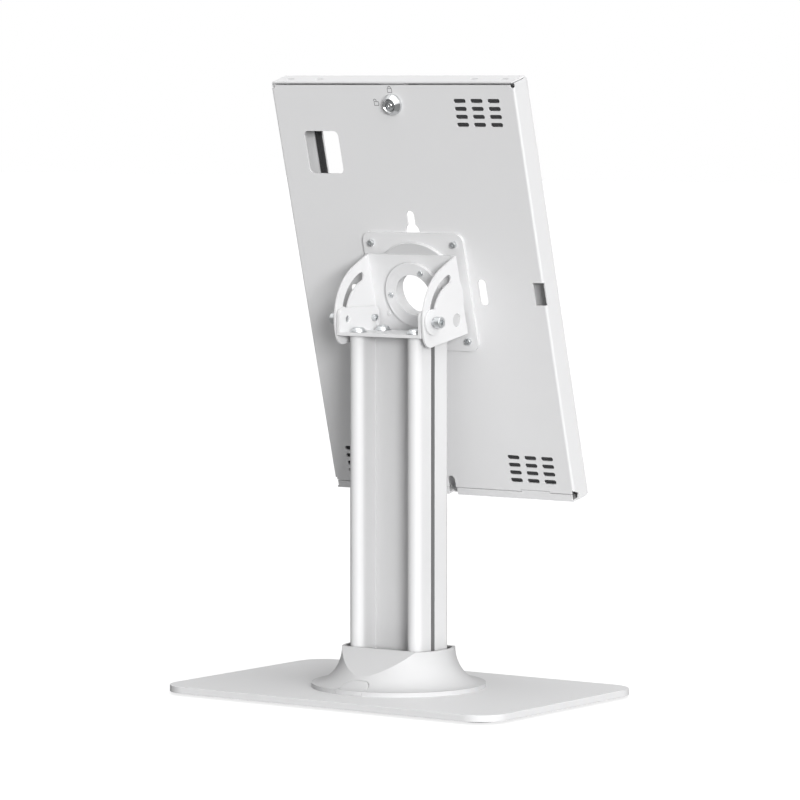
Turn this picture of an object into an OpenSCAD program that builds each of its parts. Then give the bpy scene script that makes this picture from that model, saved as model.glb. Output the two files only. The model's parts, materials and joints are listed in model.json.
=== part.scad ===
// Counter stand for a tablet: a lockable case on a tilting head, a grooved column and a flat base.
// Millimetres. The origin is the centre of the footprint on the counter, +Z is up.
// The tablet faces -Y. The case is drawn upright around the hub centre, with +Y towards its
// back, and is then leaned about the tilt pivot by lean().

/* [Base plate] */
// Width of the base plate
base_w = 300; // [240:1:400]
// Depth of the base plate
base_d = 200; // [170:1:300]
// Thickness of the base plate
base_t = 5; // [4:0.5:10]
// Corner radius of the base plate
base_r = 23; // [5:1:40]
// Diameter of a rubber foot
foot_d = 28; // [16:1:34]
// Height of a rubber foot
foot_h = 2; // [1:0.5:6]
// Distance from the plate's edges to the middle of a foot
foot_inset = 25; // [18:1:40]

/* [Column] */
// Width of the column
col_w = 64.6; // [58:0.2:66]
// Depth of the column
col_d = 41.8; // [38:0.2:46]
// Corner radius of the column
col_r = 6; // [3:0.5:8]
// Length of the column
col_len = 261.5; // [180:0.5:400]
// Width of the cable groove in the column's back
groove_w = 40.4; // [30:0.2:41]
// Depth of the cable groove
groove_depth = 19.5; // [10:0.5:20]
// Thickness of the column's web and front wall
col_wall = 2.5; // [1.5:0.5:3.5]
// Width of the narrow slot in each side of the column
side_slot_w = 5; // [3:0.5:6]
// Depth of the narrow side slot
side_slot_depth = 6; // [2:0.5:8]
// Distance of the side slot from the column's middle, towards the back
side_slot_y = 1.5; // [-2:0.5:3]
// Distance between the screw ports across the width
port_dx = 51; // [49:0.5:52]
// Distance between the screw ports across the depth
port_dy = 31; // [28:0.5:32]
// Diameter of the column screws
col_screw_d = 6; // [4:0.5:7]

/* [Collar] */
// Diameter of the collar's foot
collar_d = 130; // [120:1:150]
// Diameter of the collar's round top
collar_top_d = 84.4; // [82:0.2:96]
// Height of the collar
collar_h = 30; // [20:0.5:50]
// Height of the collar's upright bottom edge
collar_edge = 3.2; // [2:0.2:6]
// Wall thickness of the collar
collar_wall = 2.2; // [1.6:0.2:2.4]
// Depth of the collar's top between its two flat faces
collar_flat = 51; // [50.6:0.2:60]
// Slope of the flat faces from the upright
collar_slope = 51.7; // [40:0.1:56]
// Height of the flat faces
collar_flat_h = 19.8; // [16:0.1:22]
// Width of the cable door
door_w = 24; // [16:1:34]
// Distance of the cable door's inner end from the column's middle
door_y = 50; // [46:0.5:56]
// Radius of the cable door's inner corners
door_r = 6; // [2:0.5:10]
// Height of the space kept for the cable door
door_h = 14; // [10:0.5:20]
// Gap around the cable door
door_gap = 0.4; // [0.2:0.1:0.8]

/* [Head bracket] */
// Thickness of the head's sheet steel
head_t = 2.5; // [1.5:0.1:3]
// Outer width of the head bracket
head_w = 76; // [74:0.5:78]
// Depth of the head bracket
head_d = 50.5; // [46:0.5:51]
// Distance of the head bracket's middle behind the column's middle
head_y = 0.3; // [0:0.1:1]
// Height of the pivot above the column's top
pivot_h = 11.8; // [11:0.1:16]
// Height of the bracket's ears above the pivot
ear_top = 8.6; // [7:0.1:8.8]
// Corner radius of the bracket's ears
ear_r = 5.5; // [5:0.5:7]
// Distance of the pivot in front of the column's middle
pivot_front = 17.3; // [17:0.1:18]
// Radius of the pivot bush's boss
bush_r = 4.9; // [4:0.1:5.2]
// Radius of the pivot bush's flange
bush_flange_r = 6.6; // [6:0.1:7]
// Thickness of the pivot bush's flange
bush_flange_t = 0.7; // [0.5:0.1:1]
// Depth of the bush's face below the tilt bracket's outer face
bush_recess = 0.8; // [0.3:0.1:1]
// Radius of the pivot screw
pivot_screw_r = 2.5; // [2:0.1:3]
// How far the pivot screw stands out of the ear's inner face
pivot_screw_out = 3; // [1:0.1:4]
// Radial running clearance at the pivot and the hub
run_gap = 0.06; // [0.03:0.01:0.1]
// Face clearance between sliding pieces
slip_gap = 0.2; // [0.15:0.05:0.3]
// Radial clearance of screws and pins in their own holes
hole_gap = 0.1; // [0.05:0.05:0.3]

/* [Tilt] */
// Backward lean of the case in the stored pose, in degrees
lean_now = 15; // [10:1:30]
// Smallest backward lean of the case, in degrees
lean_min = 7; // [0:1:8]
// Largest backward lean of the case, in degrees
lean_max = 86; // [60:1:86]
// Radius of the clamp slot about the pivot
clamp_slot_r = 32.5; // [31:0.1:34]
// Diameter of a clamp bolt
clamp_d = 5; // [4:0.5:6]
// Width of the clamp slot
clamp_slot_w = 6.6; // [6.2:0.1:8]
// Diameter of a clamp washer
clamp_washer_d = 19; // [12:0.5:20]
// Thickness of a clamp washer
clamp_washer_t = 1.5; // [1:0.1:2.5]
// Diameter of a clamp bolt's head
clamp_head_d = 8.4; // [7:0.1:10]
// Height of a clamp bolt's head
clamp_head_h = 5.2; // [3:0.1:6]
// Length of bare shank between washer and head
clamp_free = 2.5; // [0.5:0.5:8]
// Outer radius of the tilt bracket's curved edge
sector_r = 43.4; // [42:0.1:46]
// Height of the tilt bracket
tilt_h = 60; // [56:0.1:62]
// Thickness of the tilt bracket's sheet
tilt_t = 1.6; // [1.2:0.1:2]
// Corner radius at the lower end of the curved edge
sector_corner = 8; // [4:0.5:10]
// Rise of the tilt bracket's lower edge, in degrees
sector_rise = 5; // [0:0.5:8]

/* [Hub] */
// Side of the square adapter plate
plate_w = 91; // [86:1:100]
// Thickness of the adapter plate
plate_t = 2.5; // [2:0.1:3]
// Corner radius of the adapter plate
plate_r = 7; // [3:0.5:10]
// Spacing of the adapter plate's screws
plate_pitch = 75; // [74:0.5:80]
// Radius of the hub's disc
disc_r = 39; // [37:0.5:40]
// Thickness of the hub's disc
disc_t = 3; // [2.6:0.1:3.4]
// Radius of the hub's boss
boss_r = 22.6; // [22.3:0.1:23]
// Radius of the cable hole through the hub
cable_r = 15.6; // [10:0.1:16]
// Radius of the cable hole through the adapter plate and the back sheet
sheet_hole_r = 18; // [16:0.1:20]
// Radius of the flange behind the bracket
flange_r = 25; // [24.4:0.1:26]
// Thickness of the flange behind the bracket
flange_t = 3.5; // [2.5:0.1:4]
// Radius of the circle of flange screws
flange_screw_r = 19.8; // [19.2:0.1:20]
// Thickness of the slip washers
slip_t = 0.4; // [0.3:0.1:0.6]
// Distance from the case's back to the pivot
pivot_n = 17.5; // [17:0.1:22]
// Distance of the pivot below the hub's middle
pivot_v = 16.4; // [15:0.1:18]
// Radius at which the limit pin runs
pin_run_r = 32.2; // [32:0.1:33.5]
// Angle of the limit pin from the side, in degrees
pin_angle = -30; // [-35:1:-25]
// Radius of the limit pin
pin_r = 1.6; // [1.5:0.1:2.5]
// Turn of the case each way, in degrees
turn_max = 90; // [45:5:90]

/* [Case] */
// Width of the case
case_w = 220; // [212:1:260]
// Height of the case
case_h = 322; // [300:1:360]
// Depth of the case
case_d = 18; // [18:0.5:26]
// Thickness of the case's sheet steel
sheet_t = 1.2; // [1:0.1:1.6]
// Outer bend radius of the case's folded edges
bend_r = 1.8; // [1.7:0.1:2.4]
// Gap between the frame's walls and the back sheet's ends
seam_gap = 1.3; // [0.6:0.1:2]
// Side clearance between frame and back shell
side_gap = 0.4; // [0.2:0.05:0.6]
// Height of the frame's lip along the bottom of the back
lip_h = 5.4; // [4:0.1:8]
// Width of the front's face beside the window
face_side = 28; // [26:1:50]
// Width of the front's face above and below the window
face_end = 40; // [39:1:71]
// Corner radius of the front window
window_r = 3; // [2:0.5:12]
// Width of the foam strip around the window
gasket_w = 6; // [3:0.5:8]
// Thickness of the foam strip around the window
gasket_t = 1.5; // [0.8:0.1:2.5]
// Width of the camera hole
cam_win_w = 31.5; // [20:0.5:36]
// Height of the camera hole
cam_win_h = 33; // [20:0.5:36]
// Corner radius of the camera hole
cam_win_r = 4; // [1:0.5:6]
// Distance of the camera hole from the case's middle, sideways
cam_win_u = 70.5; // [60:0.5:80]
// Height of the camera hole above the hub
cam_win_v = 106.5; // [80:0.5:112]
// Length of a vent slot
vent_len = 11; // [6:0.5:12.5]
// Height of a vent slot
vent_w = 3.2; // [2:0.1:4]
// Sideways pitch of the vent slots
vent_pitch_u = 15; // [14.5:0.5:18]
// Upward pitch of the vent slots
vent_pitch_v = 6; // [5.5:0.1:8]
// Sideways place of a vent group's middle
vent_u = 75; // [70:0.5:78]
// Height of a vent group's middle above or below the hub
vent_v = 137.5; // [130:0.5:140]
// Distance of the wall slots from the hub's middle
wall_slot_at = 55.2; // [52:0.1:60]
// Length of a wall slot
wall_slot_len = 20.2; // [12:0.1:24]
// Width of a wall slot
wall_slot_w = 7; // [5:0.1:8]
// Radius of the keyhole's round end
key_hole_r = 6.2; // [5:0.1:8]
// Radius of the keyhole's narrow end
key_slot_r = 3.4; // [2.5:0.1:4.5]
// Distance of the side keyhole's round end from the hub's middle
side_key_u = 49.5; // [48:0.1:52]
// Height of the keyhole's round end above the hub
key_v = 46; // [44:0.5:50]
// Length from the keyhole's round end to its narrow end
key_len = 12.6; // [8:0.1:16]
// Height of the cable notch in the case's side
side_notch_h = 17.5; // [10:0.5:24]
// Depth of the cable notch from the case's side
side_notch_w = 9.5; // [6:0.5:14]
// Width of the cable notch at the bottom
low_notch_w = 6.5; // [5:0.5:10]
// Height of the cable notch at the bottom
low_notch_h = 9; // [6:0.5:12]
// Distance of a hook tab's middle from the case's middle
hook_u = 75.5; // [60:0.5:85]
// Width of a hook tab
hook_w = 25; // [15:0.5:30]
// Rise of a hook tab above the lip
hook_h = 1.2; // [0.6:0.1:2]
// Largest opening of the front frame, in degrees
frame_open = 75; // [30:5:80]

/* [Tablet bay] */
// Width of a side spacer
side_pad_w = 16.8; // [14:0.1:20.5]
// Distance of the tablet bay from the case's ends
bay_end = 35; // [33:1:38]
// Length of a side spacer
side_pad_len = 60; // [30:1:80]
// Height of a side spacer's middle above or below the hub
side_pad_v = 52; // [45:1:70]
// Length of an end spacer
end_pad_len = 62; // [30:1:70]
// Sideways place of an end spacer's middle
end_pad_u = 66; // [60:1:70]
// Height of an end spacer
end_pad_h = 22; // [12:1:26]
// Thickness of the spacers
pad_t = 10; // [6:0.5:12]
// Diameter of a back pad
back_pad_d = 20; // [10:1:24]
// Thickness of a back pad
back_pad_t = 4; // [2:0.5:6]

/* [Lock] */
// Height of the lock above the hub
lock_v = 144; // [142:0.5:145]
// Radius of the lock's barrel
barrel_r = 6; // [5:0.1:6.5]
// Radius of the lock's outer head
lock_head_r = 8; // [7:0.1:9]
// Height of the lock's outer head
lock_head_h = 5.5; // [3:0.1:7]
// Radius of the turning plug
plug_r = 4.2; // [3.5:0.1:4.5]
// Reach of the cam from the lock's middle
cam_reach = 12.8; // [12:0.1:15]
// Width of the cam
cam_w = 9; // [6:0.5:10]
// Thickness of the cam
cam_t = 1.9; // [1.2:0.1:2]
// Depth of the cam's back face behind the case's back face
cam_n = 7.5; // [7.2:0.1:8.5]
// Depth of the catch's back face behind the case's back face
catch_n = 5.6; // [5:0.1:5.8]
// Width of the catch
catch_w = 24; // [12:1:30]
// Length of the catch's welded leg
catch_leg = 3.5; // [2:0.1:4]
// Clearance from the lock's barrel to the lower end of the catch
catch_gap = 1.5; // [0.5:0.1:2.5]

/* [Hidden] */
$fn = 64;
eps = 1;
// How much a curved slot stays inside its round ends
shy = 0.03;
white = [0.93, 0.93, 0.93];
steel = [0.70, 0.72, 0.73];
chrome = [0.80, 0.81, 0.83];
black = [0.08, 0.08, 0.08];

// Heights on the stand
plate_top = foot_h + base_t;
col_top = plate_top + col_len;
pivot_z = col_top + pivot_h;
tray_top = col_top + head_t;
foot_x = base_w / 2 - foot_inset;
foot_y = base_d / 2 - foot_inset;

// Column screws: countersunk heads below, flanged button heads above
csk_r = col_screw_d * 0.95;
csk_h = col_screw_d * 0.45;
screw_len = 16;
button_r = col_screw_d * 1.02;
button_h = col_screw_d * 0.62;
port_r = col_screw_d / 2 + hole_gap;
hex_key_r = col_screw_d * 0.33;

// Head bracket
ear_in = head_w / 2 - head_t;
ear_out = head_w / 2;
ear_front = head_y - head_d / 2;
ear_back = head_y + head_d / 2;
sector_in = ear_out + bush_flange_t + slip_gap;
sector_out = sector_in + tilt_t;
clamp_y = -pivot_front + clamp_slot_r;
clamp_r = clamp_d / 2;
bush_face = sector_out - bush_recess;

// Hub stack, measured from the case's back face towards the pivot
disc_n = plate_t;
front_slip_n = disc_n + disc_t;
bracket_n = front_slip_n + slip_t + slip_gap / 2;
bracket_back_n = bracket_n + tilt_t;
flange_n = bracket_back_n + slip_t + slip_gap / 2;
flange_screw_d = 3;
flange_head_r = 2.1;
flange_head_h = 1.3;
plate_screw_d = 4;
plate_head_r = 2.5;
plate_head_h = 2.6;
nut_r = 4;
nut_h = 3;
pin_tip_n = disc_n + 0.5;
pin_head_h = 1;

// Case: half sizes and inner faces
half_w = case_w / 2;
half_h = case_h / 2;
wall_in = half_w - sheet_t;
frame_u = wall_in - side_gap;
front_in = case_d - sheet_t;
window_w = case_w - 2 * face_side;
window_h = case_h - 2 * face_end;
bay_w = 2 * (frame_u - sheet_t - side_gap - side_pad_w);
bay_h = case_h - 2 * bay_end;
top_slot_insets = [13, 40];
back_top = half_h - sheet_t - seam_gap;
back_low = -half_h + lip_h + 0.5;
hook_gap = 0.3;
swing_n = -sheet_t / 2;
swing_v = -half_h + sheet_t / 2;
barrel_n = cam_n - slip_gap / 2;
lock_nut_r = barrel_r + 3.4;
catch_v = lock_v + barrel_r + catch_gap;

// Case placed on the head
module lean() {
  translate([0, -pivot_front, pivot_z])
    rotate([-lean_now, 0, 0])
      translate([0, -pivot_n, pivot_v])
        children();
}

// Round bar along Y from y0 to y1
module peg_y(r, y0, y1) {
  translate([0, y0, 0]) rotate([-90, 0, 0]) cylinder(r = r, h = y1 - y0);
}

// Round bar along X from x0 to x1
module peg_x(r, x0, x1) {
  translate([x0, 0, 0]) rotate([0, 90, 0]) cylinder(r = r, h = x1 - x0);
}

// Hexagonal bar along Y from y0 to y1
module hex_y(r, y0, y1) {
  translate([0, y0, 0]) rotate([-90, 0, 0]) cylinder(r = r, h = y1 - y0, $fn = 6);
}

// Slab standing in XZ with rounded corners, from y0 to y1
module slab_y(w, h, r, y0, y1) {
  translate([-w / 2 + r, y0, -h / 2]) cube([w - 2 * r, y1 - y0, h]);
  translate([-w / 2, y0, -h / 2 + r]) cube([w, y1 - y0, h - 2 * r]);
  for (x = [-1, 1], z = [-1, 1])
    translate([x * (w / 2 - r), 0, z * (h / 2 - r)]) peg_y(r, y0, y1);
}

// Slab lying in XY with rounded corners, from z0 to z1
module slab_z(w, d, r, z0, z1) {
  translate([-w / 2 + r, -d / 2, z0]) cube([w - 2 * r, d, z1 - z0]);
  translate([-w / 2, -d / 2 + r, z0]) cube([w, d - 2 * r, z1 - z0]);
  for (x = [-1, 1], y = [-1, 1])
    translate([x * (w / 2 - r), y * (d / 2 - r), z0]) cylinder(r = r, h = z1 - z0);
}

// Slot with round ends along X, from y0 to y1
module slot_y(len, w, y0, y1) {
  translate([-(len - w) / 2, y0, -w / 2]) cube([len - w, y1 - y0, w]);
  for (x = [-1, 1])
    translate([x * (len - w) / 2, 0, 0]) peg_y(w / 2, y0, y1);
}

// The column's screw places
module at_ports() {
  for (x = [-1, 1], y = [-1, 1])
    translate([x * port_dx / 2, y * port_dy / 2, 0]) children();
}

// The adapter plate's screw places
module at_plate_screws() {
  for (x = [-1, 1], z = [-1, 1])
    translate([x * plate_pitch / 2, 0, z * plate_pitch / 2]) children();
}

// The flange's screw places, one of them level with the hub's middle
module at_flange_screws() {
  for (a = [0, 120, 240])
    rotate([0, -a, 0]) translate([flange_screw_r, 0, 0]) children();
}

// Left and right copies
module both_sides() {
  children();
  mirror([1, 0, 0]) children();
}

// Steel base plate with countersunk column holes
module base_plate() {
  color(white)
  difference() {
    slab_z(base_w, base_d, base_r, foot_h, plate_top);
    at_ports() {
      translate([0, 0, foot_h - eps]) cylinder(r = col_screw_d / 2 + hole_gap, h = base_t + 2 * eps);
      translate([0, 0, foot_h]) cylinder(r1 = csk_r + hole_gap, r2 = col_screw_d / 2 + hole_gap, h = csk_h);
    }
  }
}

// Four rubber feet
module feet() {
  color(black)
  for (x = [-1, 1], y = [-1, 1])
    translate([x * foot_x, y * foot_y, 0]) cylinder(r = foot_d / 2, h = foot_h);
}

// Countersunk screws from below into the column's ports
module base_screws() {
  color(steel)
  at_ports()
    difference() {
      union() {
        translate([0, 0, foot_h]) cylinder(r1 = csk_r, r2 = col_screw_d / 2, h = csk_h);
        translate([0, 0, foot_h + csk_h - 0.01]) cylinder(r = col_screw_d / 2, h = screw_len);
      }
      translate([0, 0, foot_h - eps]) cylinder(r = hex_key_r, h = eps + csk_h * 0.7, $fn = 6);
    }
}

// Extruded column: round-cornered box with a cable groove behind, a closed chamber in front,
// a narrow slot in each side and four screw ports
module column() {
  groove_back = col_d / 2 - groove_depth;
  chamber_back = groove_back - col_wall;
  chamber_front = -col_d / 2 + col_wall;
  color(white)
  difference() {
    slab_z(col_w, col_d, col_r, plate_top, col_top);
    translate([-groove_w / 2, groove_back, plate_top - eps])
      cube([groove_w, groove_depth + eps, col_len + 2 * eps]);
    translate([-groove_w / 2, chamber_front, plate_top - eps])
      cube([groove_w, chamber_back - chamber_front, col_len + 2 * eps]);
    both_sides()
      translate([col_w / 2 - side_slot_depth, side_slot_y - side_slot_w / 2, plate_top - eps])
        cube([side_slot_depth + eps, side_slot_w, col_len + 2 * eps]);
    at_ports()
      translate([0, 0, plate_top - eps]) cylinder(r = port_r, h = col_len + 2 * eps);
    // The groove's two lips are half round
    both_sides()
      difference() {
        translate([groove_w / 2 - eps, col_d / 2 - col_r, plate_top - eps])
          cube([col_w / 2 - col_r - groove_w / 2 + eps, col_r + eps, col_len + 2 * eps]);
        translate([groove_w / 2 + lip_r(), col_d / 2 - lip_r(), plate_top - 2 * eps])
          cylinder(r = lip_r(), h = col_len + 4 * eps);
        translate([groove_w / 2 + lip_r(), 0, plate_top - 2 * eps])
          cube([col_w, col_d, col_len + 4 * eps]);
        translate([groove_w / 2 - eps, 0, plate_top - 2 * eps])
          cube([col_w, col_d / 2 - lip_r(), col_len + 4 * eps]);
      }
  }
}

// Radius of the groove's lips: half the width of the wall beside the groove
function lip_r() = min((col_w - groove_w) / 4, col_r);

// The collar's outer form, drawn in by wall all round: an upright edge and a concave quarter
// of an ellipse, cut by a sloping flat in front and behind
module collar_form(wall, top) {
  flare_r = (collar_d - collar_top_d) / 2 + wall;
  flare_h = collar_h - collar_edge + wall;
  first = asin(wall / flare_r);
  low = plate_top - (wall > 0 ? eps : 0);
  steps = 24;
  arc = [for (i = [0 : steps]) let (a = first + (90 - first) * i / steps)
    [collar_d / 2 - flare_r * sin(a), collar_top() - flare_h * cos(a)]];
  intersection() {
    rotate_extrude($fn = 96)
      polygon(concat([[0, low], [collar_d / 2 - wall, low]], arc,
                     [[collar_top_d / 2 - wall, top], [0, top]]));
    collar_keep(wall);
    mirror([0, 1, 0]) collar_keep(wall);
  }
}

// Height of the collar's top above the counter
function collar_top() = plate_top + collar_h;

// Space kept by one flat face of the collar, which ends above the collar's foot
module collar_keep(wall) {
  far = collar_d * 2;
  translate([0, collar_flat / 2 - wall / cos(collar_slope), collar_top()])
    rotate([collar_slope, 0, 0])
      translate([-far, -far, -far]) cube([2 * far, far, 2 * far]);
  translate([-far, -far, collar_top() - collar_flat_h - far]) cube([2 * far, 2 * far, far]);
}

module collar_shell() {
  difference() {
    collar_form(0, collar_top());
    collar_form(collar_wall, collar_top() + eps);
  }
}

// Outline of the cable door seen from above, drawn in by gap
module door_prism(gap) {
  r = door_r - gap;
  w = door_w / 2 - gap;
  translate([0, 0, plate_top - eps]) {
    translate([-w, door_y + gap + r, 0]) cube([2 * w, collar_d, door_h]);
    translate([-w + r, door_y + gap, 0]) cube([2 * (w - r), collar_d, door_h]);
    for (x = [-1, 1])
      translate([x * (w - r), door_y + gap + r, 0]) cylinder(r = r, h = door_h);
  }
}

// Moulded collar around the column's foot, open at the cable door
module collar() {
  color(white)
  difference() {
    collar_shell();
    door_prism(0);
  }
}

// Snap-in cover of the collar's cable exit
module cable_door() {
  color(white)
  intersection() {
    collar_shell();
    door_prism(door_gap);
  }
}

// Folded bracket on the column's top with two upright ears
module head_bracket() {
  ear_h = pivot_h + ear_top;
  color(white)
  difference() {
    union() {
      translate([-ear_in, ear_front, col_top]) cube([2 * ear_in, head_d, head_t]);
      both_sides()
        intersection() {
          translate([ear_in, ear_front, col_top]) cube([head_t, head_d, ear_h]);
          union() {
            translate([ear_in, ear_front, col_top]) cube([head_t, head_d, ear_h - ear_r]);
            translate([ear_in, ear_front + ear_r, col_top]) cube([head_t, head_d - 2 * ear_r, ear_h]);
            for (y = [ear_front + ear_r, ear_back - ear_r])
              translate([0, y, col_top + ear_h - ear_r]) peg_x(ear_r, ear_in, ear_out);
          }
        }
    }
    at_ports()
      translate([0, 0, col_top - eps]) cylinder(r = port_r, h = head_t + 2 * eps);
    both_sides() {
      translate([0, -pivot_front, pivot_z]) peg_x(pivot_screw_r + hole_gap / 2, ear_in - eps, ear_out + eps);
      translate([0, clamp_y, pivot_z]) peg_x(clamp_r + hole_gap / 2, ear_in - eps, ear_out + eps);
    }
  }
}

// Flanged button screws through the head bracket into the column
module head_screws() {
  color(steel)
  at_ports()
    difference() {
      union() {
        translate([0, 0, tray_top]) cylinder(r = button_r, h = 1);
        translate([0, 0, tray_top + 0.99])
          cylinder(r1 = button_r * 0.88, r2 = button_r * 0.55, h = button_h - 1);
        translate([0, 0, tray_top - screw_len]) cylinder(r = col_screw_d / 2, h = screw_len + 0.01);
      }
      translate([0, 0, tray_top + button_h * 0.3]) cylinder(r = hex_key_r, h = button_h, $fn = 6);
    }
}

// Set screws through the ears that carry the pivot bushes
module pivot_screws() {
  inner_end = ear_in - pivot_screw_out;
  color(steel)
  both_sides()
    translate([0, -pivot_front, pivot_z])
      difference() {
        peg_x(pivot_screw_r, inner_end, ear_out + bush_flange_t);
        translate([inner_end - eps, 0, 0])
          rotate([0, 90, 0]) cylinder(r = pivot_screw_r * 0.62, h = 2 + eps, $fn = 6);
      }
}

// Moulded bushes on the pivot screws: a flange between the brackets and a boss in the sector's hole
module pivot_bushes() {
  color(white)
  both_sides()
    translate([0, -pivot_front, pivot_z])
      difference() {
        union() {
          peg_x(bush_flange_r, ear_out, ear_out + bush_flange_t);
          peg_x(bush_r, ear_out, bush_face);
        }
        peg_x(pivot_screw_r + hole_gap / 2, ear_out - eps, ear_out + bush_flange_t);
      }
}

// Socket-head bolts that clamp the tilt, threaded into the head bracket's ears
module clamp_bolts() {
  head_x = sector_out + slip_gap + clamp_washer_t + clamp_free;
  inner_end = ear_in + head_t * 0.4;
  color(steel)
  both_sides()
    translate([0, clamp_y, pivot_z])
      difference() {
        union() {
          peg_x(clamp_r, inner_end, head_x + 0.01);
          peg_x(clamp_head_d / 2, head_x, head_x + clamp_head_h);
        }
        translate([head_x + clamp_head_h * 0.45, 0, 0])
          rotate([0, 90, 0]) cylinder(r = clamp_r * 0.9, h = clamp_head_h, $fn = 6);
      }
}

// Wide washers under the clamp bolts
module clamp_washers() {
  color(white)
  both_sides()
    translate([0, clamp_y, pivot_z])
      difference() {
        peg_x(clamp_washer_d / 2, sector_out + slip_gap, sector_out + slip_gap + clamp_washer_t);
        peg_x(clamp_r + hole_gap / 2, sector_out, sector_out + slip_gap + clamp_washer_t + eps);
      }
}

// One side wall of the tilt bracket: a sector about the pivot with its arc slot
module sector() {
  low = pivot_v - tilt_h / 2;
  high = pivot_v + tilt_h / 2;
  inner = bracket_back_n - pivot_n;
  front = inner - tilt_t / 2;
  // Where the straight upper edge runs into the curved one
  corner_at = norm([inner, high]);
  touch = atan2(high, inner) - acos(sector_r / corner_at);
  join_r = sector_r - shy;
  // Distances in the frame of the lower edge, which rises from 1 mm behind the bracket's plate
  edge_v = low * cos(sector_rise) - (inner + 1) * sin(sector_rise);
  round_v = edge_v + sector_corner;
  round_n = sqrt(pow(join_r - sector_corner, 2) - round_v * round_v);
  end_v = round_v * join_r / (join_r - sector_corner);
  translate([0, pivot_n, -pivot_v])
    difference() {
      union() {
        intersection() {
          peg_x(sector_r, sector_in, sector_out);
          translate([sector_in - eps, front, low]) cube([tilt_t + 2 * eps, 2 * sector_r, tilt_h]);
        }
        translate([sector_in, 0, 0]) rotate([90, 0, 90]) linear_extrude(tilt_t)
          polygon([[front, 0], [0, 0], join_r * [cos(touch), sin(touch)], [inner, high], [front, high]]);
      }
      // Rising lower edge with a round corner
      rotate([sector_rise, 0, 0]) {
        translate([sector_in - eps, -sector_r, edge_v - sector_r])
          cube([tilt_t + 2 * eps, 3 * sector_r, sector_r]);
        difference() {
          translate([sector_in - eps, round_n, edge_v - eps])
            cube([tilt_t + 2 * eps, sector_r, end_v - edge_v + eps]);
          translate([0, round_n, round_v]) peg_x(sector_corner, sector_in - 2 * eps, sector_out + 2 * eps);
        }
      }
      // Clamp slot, from the smallest to the largest lean
      for (a = [lean_min, lean_max])
        rotate([a, 0, 0]) translate([0, clamp_slot_r, 0])
          peg_x(clamp_slot_w / 2, sector_in - eps, sector_out + eps);
      translate([sector_in - eps, 0, 0]) rotate([90, 0, 90]) rotate([0, 0, lean_min])
        rotate_extrude(angle = lean_max - lean_min)
          translate([clamp_slot_r - clamp_slot_w / 2 + shy, 0])
            square([clamp_slot_w - 2 * shy, tilt_t + 2 * eps]);
      peg_x(bush_r + run_gap, sector_in - eps, sector_out + eps);
    }
}

// Folded bracket that tilts: a plate behind the hub and two sectors
module tilt_bracket() {
  color(white)
  lean()
    difference() {
      union() {
        translate([-sector_out, bracket_n, -tilt_h / 2]) cube([2 * sector_out, tilt_t, tilt_h]);
        both_sides() sector();
      }
      peg_y(boss_r + run_gap, bracket_n - eps, bracket_back_n + eps);
      at_limit_pin() peg_y(pin_r + hole_gap / 2, bracket_n - eps, bracket_back_n + eps);
    }
}

// Place of the limit pin about the hub
module at_limit_pin() {
  rotate([0, -pin_angle, 0]) translate([pin_run_r, 0, 0]) children();
}

// Pin riveted in the tilt bracket that runs in the hub's groove
module limit_pin() {
  color(white)
  lean()
    at_limit_pin() peg_y(pin_r, pin_tip_n, bracket_back_n + pin_head_h);
}

// Square plate screwed to the case's back
module adapter_plate() {
  color(white)
  lean()
    difference() {
      slab_y(plate_w, plate_w, plate_r, 0, plate_t);
      peg_y(sheet_hole_r, -eps, plate_t + eps);
      at_plate_screws() peg_y(plate_screw_d / 2 + hole_gap, -eps, plate_t + eps);
    }
}

// Hub: disc with the limit groove and the boss that the tilt bracket turns on
module hub() {
  color(white)
  lean()
    difference() {
      union() {
        peg_y(disc_r, disc_n, front_slip_n);
        peg_y(boss_r, disc_n, flange_n);
      }
      peg_y(cable_r, disc_n - eps, flange_n + eps);
      at_flange_screws() peg_y(flange_screw_d / 2 + hole_gap, disc_n + 0.6, flange_n + eps);
      // Groove for the limit pin, a little over half a turn
      rotate([-90, 0, 0]) rotate([0, 0, -pin_angle - turn_max])
        rotate_extrude(angle = 2 * turn_max)
          translate([pin_run_r - pin_r - slip_gap + shy, disc_n + 0.3])
            square([2 * (pin_r + slip_gap - shy), disc_t]);
      for (a = [-turn_max, turn_max])
        rotate([0, -pin_angle + a, 0]) translate([pin_run_r, 0, 0])
          peg_y(pin_r + slip_gap, disc_n + 0.3, front_slip_n + eps);
    }
}

// Flange that holds the tilt bracket on the hub
module hub_flange() {
  color(white)
  lean()
    difference() {
      peg_y(flange_r, flange_n, flange_n + flange_t);
      peg_y(cable_r, flange_n - eps, flange_n + flange_t + eps);
      at_flange_screws() peg_y(flange_screw_d / 2 + hole_gap, flange_n - eps, flange_n + flange_t + eps);
    }
}

// Three small screws through the flange into the hub
module hub_screws() {
  top = flange_n + flange_t;
  color(steel)
  lean()
    at_flange_screws()
      difference() {
        union() {
          peg_y(flange_screw_d / 2, disc_n + 0.8, top + 0.01);
          peg_y(flange_head_r, top, top + flange_head_h);
        }
        hex_y(flange_head_r * 0.45, top + flange_head_h * 0.5, top + flange_head_h + eps);
      }
}

// White rings on both sides of the tilt bracket's plate, the front one held by the limit pin
module slip_washers() {
  color(white)
  lean() {
    difference() {
      slip_ring(bracket_n - slip_t, disc_r - 0.5);
      at_limit_pin() peg_y(pin_r + hole_gap, bracket_n - slip_t - eps, bracket_n + eps);
    }
    slip_ring(bracket_back_n, flange_r - 0.2);
  }
}

module slip_ring(n, r) {
  difference() {
    peg_y(r, n, n + slip_t);
    peg_y(boss_r + hole_gap, n - eps, n + slip_t + eps);
  }
}

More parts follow.
